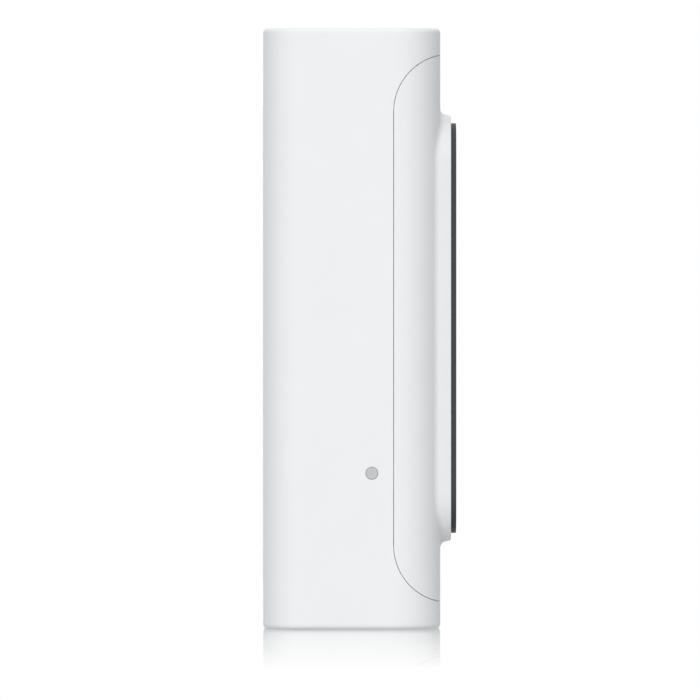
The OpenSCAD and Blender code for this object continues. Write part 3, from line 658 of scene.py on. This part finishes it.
def seam_prism(grow):
    """Everything in front of the seam, which is a D seen from the side."""
    centre_d, centre_z, r = SEAM_D + SEAM_R, SEAM_HALF - SEAM_R, SEAM_R + grow
    outline = arc(centre_d, centre_z, r, 90, 180, 40) + arc(centre_d, -centre_z, r, 180, 270, 40)
    outline += [(centre_d + 30, -SEAM_HALF - grow), (centre_d + 30, SEAM_HALF + grow)]
    return loft([[(x, -d, z) for d, z in outline] for x in (-HALF_W - 3, HALF_W + 3)])


def body_front(x):
    """Depth of the body's front surface at a distance x from the middle, just under the skin."""
    sink = SKIN + 0.008
    flat = HALF_W - FRONT_R
    past = max(abs(x) - flat, 0)
    return BODY_D - FRONT_R + math.sqrt(max((FRONT_R - sink) ** 2 - past ** 2, 0))


def plinth_section(point, normal, steps=8):
    """Plinth wall at one point of its outline, as (offset, depth) from the inside of its front
    face, round the rim, down the draft and through the root fillet to under the body's skin."""
    top = PLINTH_D - 0.02
    lean = PLINTH_DRAFT
    root = ROOT_END_R + (ROOT_SIDE_R - ROOT_END_R) * abs(normal[0])
    across, down = (math.cos(lean), math.sin(lean)), (math.sin(lean), -math.cos(lean))

    def ground(s):
        return body_front(point[0] + s * normal[0])

    def nearest(centre):
        offsets = (centre[0] + root * (i / 40 * 2 - 1) for i in range(41))
        return min(((s, ground(s)) for s in offsets), key=lambda q: math.dist(q, centre))

    low, high = 0.0, 6.0
    for _ in range(24):
        run = (low + high) / 2
        centre = (run * down[0] + root * across[0], top + run * down[1] + root * across[1])
        foot = nearest(centre)
        if math.dist(foot, centre) > root and centre[1] > foot[1]:
            low = run
        else:
            high = run
    edge = PLINTH_EDGE
    rim_turn = math.pi / 2 - lean
    tangent = edge * math.tan(rim_turn / 2)
    rim = (-tangent, top - edge)
    section = [(-tangent - 0.5, top)]
    section += [(rim[0] + edge * math.cos(a), rim[1] + edge * math.sin(a))
                for a in (math.pi / 2 - rim_turn * i / 4 for i in range(5))]
    start = math.atan2(-across[1], -across[0]) % (2 * math.pi)
    end = math.atan2(foot[1] - centre[1], foot[0] - centre[0]) % (2 * math.pi)
    section += [(centre[0] + root * math.cos(a), centre[1] + root * math.sin(a))
                for a in (start + (end - start) * i / steps for i in range(steps + 1))]
    section.append((foot[0] - 0.3 * math.sin(end), foot[1] + 0.3 * math.cos(end) - 0.01))
    section.append((section[-1][0] + 0.02, section[-1][1] - 0.6))
    section.append((-3.0, BODY_D - FRONT_R + 2))
    return section


def plinth_solid():
    """Raised plinth of the front panel, which flows into the body with a fillet all round."""
    run = rounded_run(PLINTH_W, PLINTH_H, PLINTH_R, 20)
    sections = [plinth_section(p, n) for p, n in run]
    rings = []
    for level in range(len(sections[0])):
        rings.append([(p[0] + s[level][0] * n[0], -s[level][1], p[1] + s[level][0] * n[1])
                      for (p, n), s in zip(run, sections)])
    return mesh_object("plinth", loft(rings), 60)


def ease_rear_face(shell):
    """Rounds the rims of the recess, the two upper screw holes and the vent."""
    recess = lambda inset: rounded(RECESS_W - 2 * inset, RECESS_H - 2 * inset, RECESS_R - inset, 8)
    cut(shell, eased_mouth(recess, SKIN, 0.3, 1, at=(0, RECESS_Z)))
    screw_hole = lambda inset: circle(COVER_SCREW_MOUTH_R - inset)
    for x in (-COVER_SCREW_X, COVER_SCREW_X):
        cut(shell, eased_mouth(screw_hole, SKIN, 0.2, 1, at=(x, COVER_SCREW_Z)))
    vent = lambda inset: circle(VENT_R - inset, 32)
    cut(shell, eased_mouth(vent, SKIN, 0.25, 1, at=(0, VENT_Z)))


def ease_lower_end(shell):
    """Rounds the rims of the speaker slots, the charging door's opening and the lock screw's hole."""
    face = SKIN - HALF_H
    slot = lambda inset: rounded(SLOT_W - 2 * inset, SLOT_LONG - 2 * inset, SLOT_W / 2 - inset, 8, 0.2)
    for i in range(-3, 4):
        place = (SLOT_X + SLOT_PITCH * i, END_D)
        cut(shell, eased_mouth(slot, face, 0.2, 1, at=place, axis="height"))
    door = lambda inset: rounded(DOOR_W - 2 * inset, DOOR_LONG - 2 * inset, 0.05, 3, 0.2)
    cut(shell, eased_mouth(door, face, 0.12, 1, at=(DOOR_X, END_D), axis="height"))
    lock_hole = lambda inset: circle(LOCK_SCREW_R - inset)
    cut(shell, eased_mouth(lock_hole, face, 0.2, 1, at=(0, LOCK_SCREW_D), axis="height"))


def make_housing():
    """Housing behind the seam, with every opening's rim eased."""
    shell = cad_copy("main_housing", "housing_shell")
    cut(shell, envelope(), "INTERSECT")
    cut(shell, seam_prism(0.02))
    ease_rear_face(shell)
    ease_lower_end(shell)
    bore = eased_mouth(lambda i: circle(SETUP_R + 0.05 - i, 48), 0, 0.03, 1)
    turn_to_left_side(bore, *setup_place())
    cut(shell, bore)
    skin_normals(shell, envelope())
    return piece(shell, "housing", "white_shell", "main_housing")


def setup_place():
    """Depth and height of the setup button's middle."""
    _, (d0, d1), (z0, z1) = box_mm("setup_plunger")
    return (d0 + d1) / 2, (z0 + z1) / 2


def turn_to_left_side(bm, depth, z):
    """Turns a shape made along the depth at the origin so that it goes into the left side."""
    for v in bm.verts:
        x, y, up = v.co
        v.co = ((-HALF_W + SKIN) * MM - y, -depth * MM - x, z * MM + up)
    bmesh.ops.recalc_face_normals(bm, faces=bm.faces)


def make_cover():
    """Front cover with its plinth, whose root flows into the body."""
    shell = cad_copy("front_cover", "cover_shell")
    # Extra material in which the plinth's root fillet is formed, as (width, height, corner radius)
    outer, inner, strip_size = (41.4, 104.2, 13), (29.8, 93, 8.1), (3.4, 88, 0.5)
    strip_x, strip_low, strip_high = 20.3, 37.9, 40
    collar = mesh_object("collar", slab(lambda i: rounded(*outer), [(0, 39.3), (0, PLINTH_D)]))
    cut(collar, slab(lambda i: rounded(*inner), [(0, 38), (0, PLINTH_D + 1)]))
    for side in (-1, 1):
        strip = slab(lambda i: rounded(*strip_size), [(0, strip_low), (0, strip_high)],
                     at=(side * strip_x, 0))
        cut(collar, strip, "UNION")
    cut(shell, collar, "UNION")
    cut(shell, cut(envelope(), plinth_solid(), "UNION"), "INTERSECT")
    # The seam's face is trimmed only near the skin, so that the lip and the tongue inside stay
    kept = mesh_object("kept", seam_prism(-SEAM_GAP - 0.03))
    cut(kept, slab(lambda i: body_plan(0.9), [(0, 1 - HALF_H), (0, HALF_H - 1)], axis="height"), "UNION")
    cut(shell, kept, "INTERSECT")
    skin_normals(shell, envelope(), plinth_solid())
    return piece(shell, "housing", "white_shell", "front_cover")


def skin_normals(shell, *sources):
    """Gives the faces of a cut shell that lie on a source's surface the source's own smooth
    normals, so that no cut disturbs the shading of the skin. Where a face lies on several
    sources, the first one counts. Removes the sources."""
    # The slivers that a cut leaves would pull the normals of the faces beside them
    bm = bmesh.new()
    bm.from_mesh(shell.data)
    bmesh.ops.remove_doubles(bm, verts=bm.verts, dist=2e-6)
    bmesh.ops.dissolve_degenerate(bm, dist=1e-6, edges=bm.edges)
    bm.to_mesh(shell.data)
    bm.free()
    shell.data.shade_smooth()
    shell.data.set_sharp_from_angle(angle=math.radians(32))
    normals = [(0.0, 0.0, 0.0)] * len(shell.data.loops)
    owner = [None] * len(shell.data.polygons)
    for source in sources:
        mesh = source.data
        mesh.calc_loop_triangles()
        corners = [tuple(t.vertices) for t in mesh.loop_triangles]
        tree = BVHTree.FromPolygons([v.co for v in mesh.vertices], corners)
        for face in shell.data.polygons:
            _, normal, _, gap = tree.find_nearest(face.center)
            if owner[face.index] or gap > 8e-6 or normal.dot(face.normal) < 0.96:
                continue
            owner[face.index] = source.name
            for loop in face.loop_indices:
                point = shell.data.vertices[shell.data.loops[loop].vertex_index].co
                spot, _, index, _ = tree.find_nearest(point.lerp(face.center, 0.02))
                trio = corners[index]
                weights = poly_3d_calc([mesh.vertices[v].co for v in trio], spot)
                smooth = sum((mesh.vertices[v].normal * w for v, w in zip(trio, weights)), Vector())
                normals[loop] = smooth.normalized()
    # Where two surfaces meet, each keeps its own normals
    beside = {}
    for face in shell.data.polygons:
        for key in face.edge_keys:
            beside.setdefault(key, set()).add(owner[face.index])
    for edge in shell.data.edges:
        if len(beside[edge.key]) > 1:
            edge.use_edge_sharp = True
    shell.data.normals_split_custom_set(normals)
    for source in sources:
        bpy.data.objects.remove(source)


# ---- Front panel ----
def window_outline(grow):
    """Outline of the motion window, grown all round."""
    return lambda inset: rounded(PIR_W + 2 * (grow - inset), PIR_H + 2 * (grow - inset), 1.5 - inset, 8)


def make_glass():
    """Cover glass with a ground edge and an eased rim at every opening."""
    outline = lambda i: rounded(GLASS_WIDE - 2 * i, GLASS_TALL - 2 * i, GLASS_R - i, 24)
    plate = mesh_object("cover_glass", slab(outline, eased(PLINTH_D, GLASS_D, 0.1, 3)))
    openings = [
        (lambda i: circle(BEZEL_R + 0.05 - i, 96), CAMERA_Z),
        (lambda i: circle(RING_R + 0.05 - i, 96), BUTTON_Z),
        (lambda i: circle(MIC_R - i, 32), MIC_Z),
        (window_outline(0.05), PIR_Z),
    ]
    for opening, z in openings:
        cut(plate, slab(opening, [(0, PLINTH_D - 1), (0, GLASS_D + 1)], at=(0, z)))
        cut(plate, eased_mouth(opening, GLASS_D, 0.06, -1, 2, at=(0, z)))
    weighted(plate)
    piece(plate, "housing", "black_glass", "front_glass")
    plate.data.materials.append(ground_edge())
    for face in plate.data.polygons:
        face.material_index = int(abs(face.normal.y) < 0.4)


def make_bezel():
    """Metal ring round the camera window, with fine steps inside that kill stray light."""
    inner_d = box_mm("camera_bezel")[1][0]
    seat = GLASS_D - 1
    profile = [(BEZEL_R, inner_d), (BEZEL_R, GLASS_D - 0.12), (BEZEL_R - 0.12, GLASS_D)]
    profile += [(WINDOW_R + 0.25, GLASS_D), (WINDOW_R + 0.05, GLASS_D - 0.15), (WINDOW_R + 0.05, seat)]
    steps = 5
    for i in range(steps):
        r = WINDOW_R - 0.6 - 0.06 * i
        d = seat - (seat - inner_d) * i / steps
        profile += [(r, d), (r + 0.12, d - 0.12)]
    profile.append((WINDOW_R - 0.9, inner_d))
    ring = mesh_object("camera_bezel_ring", lathe(profile, (0, CAMERA_Z), steps=128), 30)
    piece(weighted(ring), "housing", "bezel_metal", "camera_bezel")


def make_camera_window():
    outline = lambda i: circle(WINDOW_R - i, 96)
    disc = mesh_object("camera_window_pane", slab(outline, eased(GLASS_D - 1, GLASS_D, 0.08), (0, CAMERA_Z)))
    piece(weighted(disc), "housing", "clear_glass", "camera_window")


def make_lens():
    """Domed front element in its barrel, whose retaining ring has fine turned grooves."""
    (_, r), (low, top), _ = box_mm("front_lens")
    dome = 9.3
    sag = dome - math.sqrt(dome ** 2 - r ** 2)
    profile = [(0, low), (r, low), (r, top - sag)]
    for i in range(1, 25):
        across = r * (1 - i / 24)
        profile.append((across, top - dome + math.sqrt(dome ** 2 - across ** 2)))
    lens = mesh_object("front_lens_element", lathe(profile, (0, CAMERA_Z)), 40)
    piece(lens, "housing", "lens_glass", "front_lens")

    (_, wide), (back, front), _ = box_mm("lens_barrel")
    bore_r, tube_r, groove_r, thread_end, head_d = 3, 4.6, 4.42, 36.4, 36.5
    profile = [(bore_r, back), (tube_r - 0.1, back), (tube_r, back + 0.1)]
    pitch = 0.35
    for i in range(int((thread_end - back) / pitch)):
        d = back + 0.2 + pitch * i
        profile += [(tube_r, d), (groove_r, d + pitch / 2)]
    profile += [(tube_r, head_d), (wide - 0.1, head_d), (wide, head_d + 0.1), (wide, front - 0.15)]
    profile += [(wide - 0.15, front)]
    for i in range(3):
        r = wide - 0.25 - 0.16 * i
        profile += [(r, front), (r - 0.06, front - 0.08), (r - 0.1, front)]
    seat_r, seat_d = 4.25, 40
    profile += [(seat_r + 0.07, front), (seat_r, front - 0.1), (seat_r, seat_d), (bore_r, seat_d)]
    barrel = mesh_object("lens_barrel_body", lathe(profile, (0, CAMERA_Z), steps=128), 30)
    piece(weighted(barrel), "housing", "black_metal", "lens_barrel")


def make_motion_window():
    """Moulded window of the motion sensor: a grid of shallow lenslets over its whole face."""
    columns, rows, fine = 8, 4, 8
    reach_x, reach_z = PIR_W / 2 + 0.5, PIR_H / 2 + 0.5
    pitch_x, pitch_z = 2 * reach_x / columns, 2 * reach_z / rows
    back = PANEL_IN - 0.05
    bm = bmesh.new()

    def sheet(depth_of):
        return [[bm.verts.new(Vector((-reach_x + pitch_x * i / fine, -depth_of(i, j),
                                      PIR_Z - reach_z + pitch_z * j / fine)) * MM)
                 for j in range(rows * fine + 1)] for i in range(columns * fine + 1)]

    def domed(i, j):
        u, v = (i % fine) / fine * 2 - 1, (j % fine) / fine * 2 - 1
        return GLASS_D - 0.04 - 0.05 * (u * u + v * v)

    top, bottom = sheet(domed), sheet(lambda i, j: back)
    for grid in (top, bottom):
        for i in range(len(grid) - 1):
            for j in range(len(grid[0]) - 1):
                bm.faces.new((grid[i][j], grid[i + 1][j], grid[i + 1][j + 1], grid[i][j + 1]))
    rim = [(i, 0) for i in range(len(top) - 1)]
    rim += [(len(top) - 1, j) for j in range(len(top[0]) - 1)]
    rim += [(i, len(top[0]) - 1) for i in range(len(top) - 1, 0, -1)]
    rim += [(0, j) for j in range(len(top[0]) - 1, 0, -1)]
    for (a, b), (c, e) in zip(rim, rim[1:] + rim[:1]):
        bm.faces.new((top[a][b], top[c][e], bottom[c][e], bottom[a][b]))
    bmesh.ops.recalc_face_normals(bm, faces=bm.faces)
    window = mesh_object("motion_window_lens", bm)
    outline = window_outline(-0.04)
    cut(window, slab(outline, eased(back - 0.5, GLASS_D - 0.04, 0.12, 3), (0, PIR_Z)), "INTERSECT")
    flange = slab(lambda i: rounded(PIR_W + 2.4 - 2 * i, PIR_H + 2.4 - 2 * i, 2 - i, 8),
                  [(0, PANEL_IN - 0.8), (0, PANEL_IN)], (0, PIR_Z))
    cut(window, flange, "UNION")
    hollow = slab(lambda i: rounded(PIR_W - 2, PIR_H - 2, 1, 8),
                  [(0, PANEL_IN - 2), (0, GLASS_D - 1)], (0, PIR_Z))
    cut(window, hollow)
    piece(weighted(window, 20), "housing", "motion_window", "pir_lens")


# ---- Buttons ----
def make_bell_button():
    """Dished cap that slides inside a frosted light ring."""
    (_, flange), (foot, top), _ = box_mm("button_cap")
    ledge, lid, round_r, dish = PANEL_IN - 0.4, GLASS_D - 1.5, 0.4, 0.4
    stem_r, hollow_r, skirt = 2.2, BUTTON_R - 1.2, PANEL_IN - 1.3
    profile = [(0, foot), (stem_r - 0.1, foot), (stem_r, foot + 0.1), (stem_r, lid), (hollow_r, lid)]
    profile += [(hollow_r, skirt), (flange, skirt), (flange, ledge)]
    profile += [(BUTTON_R, ledge)]
    profile += [(BUTTON_R - round_r + round_r * math.cos(a), top - round_r + round_r * math.sin(a))
                for a in (math.radians(90) * i / 6 for i in range(7))]
    for i in range(1, 17):
        across = (BUTTON_R - round_r) * (1 - i / 16)
        share = across / (BUTTON_R - round_r)
        profile.append((across, top - dish * (1 - share ** 2) ** 1.5))
    cap = mesh_object("bell_button_cap", lathe(profile, (0, BUTTON_Z), steps=128), 30)
    piece(cap, "bell_button", "button_black", "button_cap")

    inner, (_, outer) = BUTTON_R + 0.4, box_mm("button_ring")[0]
    crown, edge = GLASS_D, GLASS_D - 0.16
    profile = [(inner, PANEL_IN), (inner, edge)]
    profile += [(inner + (RING_R - inner) * i / 8, edge + (crown - edge) * math.sin(math.pi * i / 8) ** 0.6)
                for i in range(1, 8)]
    profile += [(RING_R, edge), (RING_R, PANEL_IN), (outer, PANEL_IN), (outer, PANEL_IN - 0.8)]
    profile += [(RING_R - 0.35, PANEL_IN - 0.8), (RING_R - 0.35, PANEL_IN)]
    ring = mesh_object("bell_light_ring", lathe(profile, (0, BUTTON_Z), steps=128), 40)
    piece(ring, "housing", "light_ring", "button_ring")

    # The dome's foot lies on the front board; the piece keeps the CAD dome's shape, with its edges rounded
    _, (foot, top), _ = box_mm("button_dome")
    dome = piece(bevelled(cad_copy("button_dome", "press_dome"), 0.06), "housing", "dome_silicone",
                 "button_dome")
    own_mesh(dome)


def make_setup_button():
    """Small flush button on the left side, with a softly rounded edge."""
    (x0, x1), _, _ = box_mm("setup_button")
    inner = -HALF_W + WALL
    flange_r, flange_x, stem_r = 2.3, inner - 0.2, 0.9
    stop = inner + 0.7
    face = x0 + SKIN + 0.02
    profile = [(0, face + 0.02), (SETUP_R * 0.7, face + 0.01)]
    profile += [(SETUP_R - 0.1 + 0.1 * math.sin(a), face + 0.1 - 0.1 * math.cos(a))
                for a in (math.radians(90) * i / 4 for i in range(5))]
    profile += [(SETUP_R, flange_x), (flange_r, flange_x), (flange_r, stop)]
    profile += [(stem_r, stop), (stem_r, x1), (0, x1)]
    cap = mesh_object("setup_button_cap", lathe(profile, setup_place(), "side", 64), 30)
    piece(cap, "setup_key", "grey_button", "setup_button")


# ---- Fasteners ----
def star(r, lobes=6, steps=60, depth=0.16):
    """Outline of a six-lobe driver recess."""
    return [((r * (1 - depth + depth * math.cos(lobes * a))) * math.cos(a),
             (r * (1 - depth + depth * math.cos(lobes * a))) * math.sin(a))
            for a in (2 * math.pi * i / steps for i in range(steps))]


def screw(head_r, head_h, shaft_r, length, pitch, name):
    """Domed head with a six-lobe recess and a threaded shaft, pointing along the depth from 0."""
    core = shaft_r * 0.84
    profile = [(0, length), (core * 0.4, length), (core, length - shaft_r)]
    turns = int((length * 0.8 - shaft_r) / pitch)
    for i in range(turns):
        d = length - shaft_r - pitch * i
        profile += [(core, d), (shaft_r, d - pitch * 0.35)]
        profile += [(shaft_r, d - pitch * 0.5), (core, d - pitch * 0.85)]
    profile += [(shaft_r * 0.9, length * 0.15), (shaft_r * 0.9, 0), (head_r - 0.12, 0), (head_r, -0.12)]
    profile += [(head_r * math.cos(a), -head_h * 0.45 - head_h * 0.55 * math.sin(a))
                for a in (math.radians(82) * i / 7 for i in range(8))]
    profile += [(0, -head_h)]
    made = mesh_object(name, lathe(profile, (0, 0), steps=48), 30)
    recess = [(-0.08, -head_h - 1), (-0.08, -head_h), (0.04, -head_h * 0.45)]
    cut(made, slab(lambda i: star(head_r * 0.5 - i), recess))
    return made


def turn_into_place(made, place, axis="front"):
    """Moves a screw made at the origin: along the depth, or pointing up for axis "up"."""
    for v in made.data.vertices:
        x, y, z = v.co
        if axis == "up":
            v.co = (x + place[0] * MM, z - place[1] * MM, -y + place[2] * MM)
        else:
            v.co = (x + place[0] * MM, y - place[1] * MM, z + place[2] * MM)
    made.data.update()
    return made


def joined(name, parts):
    """One object from several."""
    bm = bmesh.new()
    for part in parts:
        bm.from_mesh(part.data)
        bpy.data.objects.remove(part)
    return mesh_object(name, bm, 30)


def make_screws():
    places = [(side * COVER_SCREW_X, RECESS_D, end * COVER_SCREW_Z)
              for side in (-1, 1) for end in (-1, 1)]
    parts = [turn_into_place(screw(2.3, 1.6, 1.25, 33, 0.8, "screw"), at) for at in places]
    piece(weighted(joined("long_cover_screws", parts)), "housing", "screw_steel", "cover_screws")
    terminal_x, terminal_z = 4.8, -30
    places = [(side * terminal_x, RECESS_D + 0.1, terminal_z) for side in (-1, 1)]
    parts = [turn_into_place(screw(2.9, 1.6, 1.6, 5.3, 0.7, "screw"), at) for at in places]
    piece(weighted(joined("wire_terminal_screws", parts)), "housing", "screw_brass", "terminal_screws")
    place = (0, LOCK_SCREW_D, box_mm("bracket_screw")[2][0] + 1.6)
    lock = turn_into_place(screw(2.7, 1.6, 1.5, 4.8, 0.6, "bracket_lock_screw"), place, "up")
    piece(weighted(lock), "housing", "screw_steel", "bracket_screw")


# ---- Back and bottom ----
def make_bracket():
    """Powder-coated steel plate with pressed rims round its two wall screw holes."""
    plate = cad_copy("wall_bracket", "wall_bracket_plate")
    thick, hole_r, low_z, high_z = 1.8, 2.25, -50, 40
    hole = lambda inset: circle(hole_r - inset, 64)
    for z in (low_z, high_z):
        cut(plate, eased_mouth(hole, 0, 0.35, 1, at=(0, z)))
        cut(plate, eased_mouth(hole, thick, 0.9, -1, at=(0, z)))
    piece(bevelled(plate, 0.18), "housing", "bracket_metal", "wall_bracket")


def make_softened():
    """Moulded and pressed pieces whose edges only need their real rounding."""
    for node, name, body, slot_name, edge in (
            ("terminal_block", "terminal_block_body", "housing", "dark_plastic", 0.25),
            ("usb_door", "usb_door_leaf", "port_door", "white_trim", 0.2),
            ("usb_socket", "usb_socket_shell", "housing", "can_steel", 0.05)):
        piece(bevelled(cad_copy(node, name), edge), body, slot_name, node)


def finish_cad_nodes():
    """Every CAD node that still shows gets slightly rounded edges and its record finish."""
    for entry in frame["record"]["subparts"]:
        shown = frame["nodes"][entry["node"]]
        if shown.hide_render:
            continue
        shown.data.materials.clear()
        shown.data.materials.append(MATERIALS[entry["material_slot"]])
        weld = shown.modifiers.new("weld", "WELD")
        weld.merge_threshold = 2e-7
        bevel = shown.modifiers.new("rounding", "BEVEL")
        bevel.width = 0.06 * MM
        bevel.segments = 2
        bevel.limit_method = "ANGLE"
        bevel.angle_limit = math.radians(40)
        shown.data.shade_smooth()
        normals = shown.modifiers.new("normals", "WEIGHTED_NORMAL")
        normals.keep_sharp = True


make_camera()
make_world()
make_floor()
make_housing()
make_cover()
make_glass()
make_bezel()
make_camera_window()
make_lens()
make_motion_window()
make_bell_button()
make_setup_button()
make_screws()
make_bracket()
make_softened()
finish_cad_nodes()
bpy.context.scene.view_settings.view_transform = "Standard"
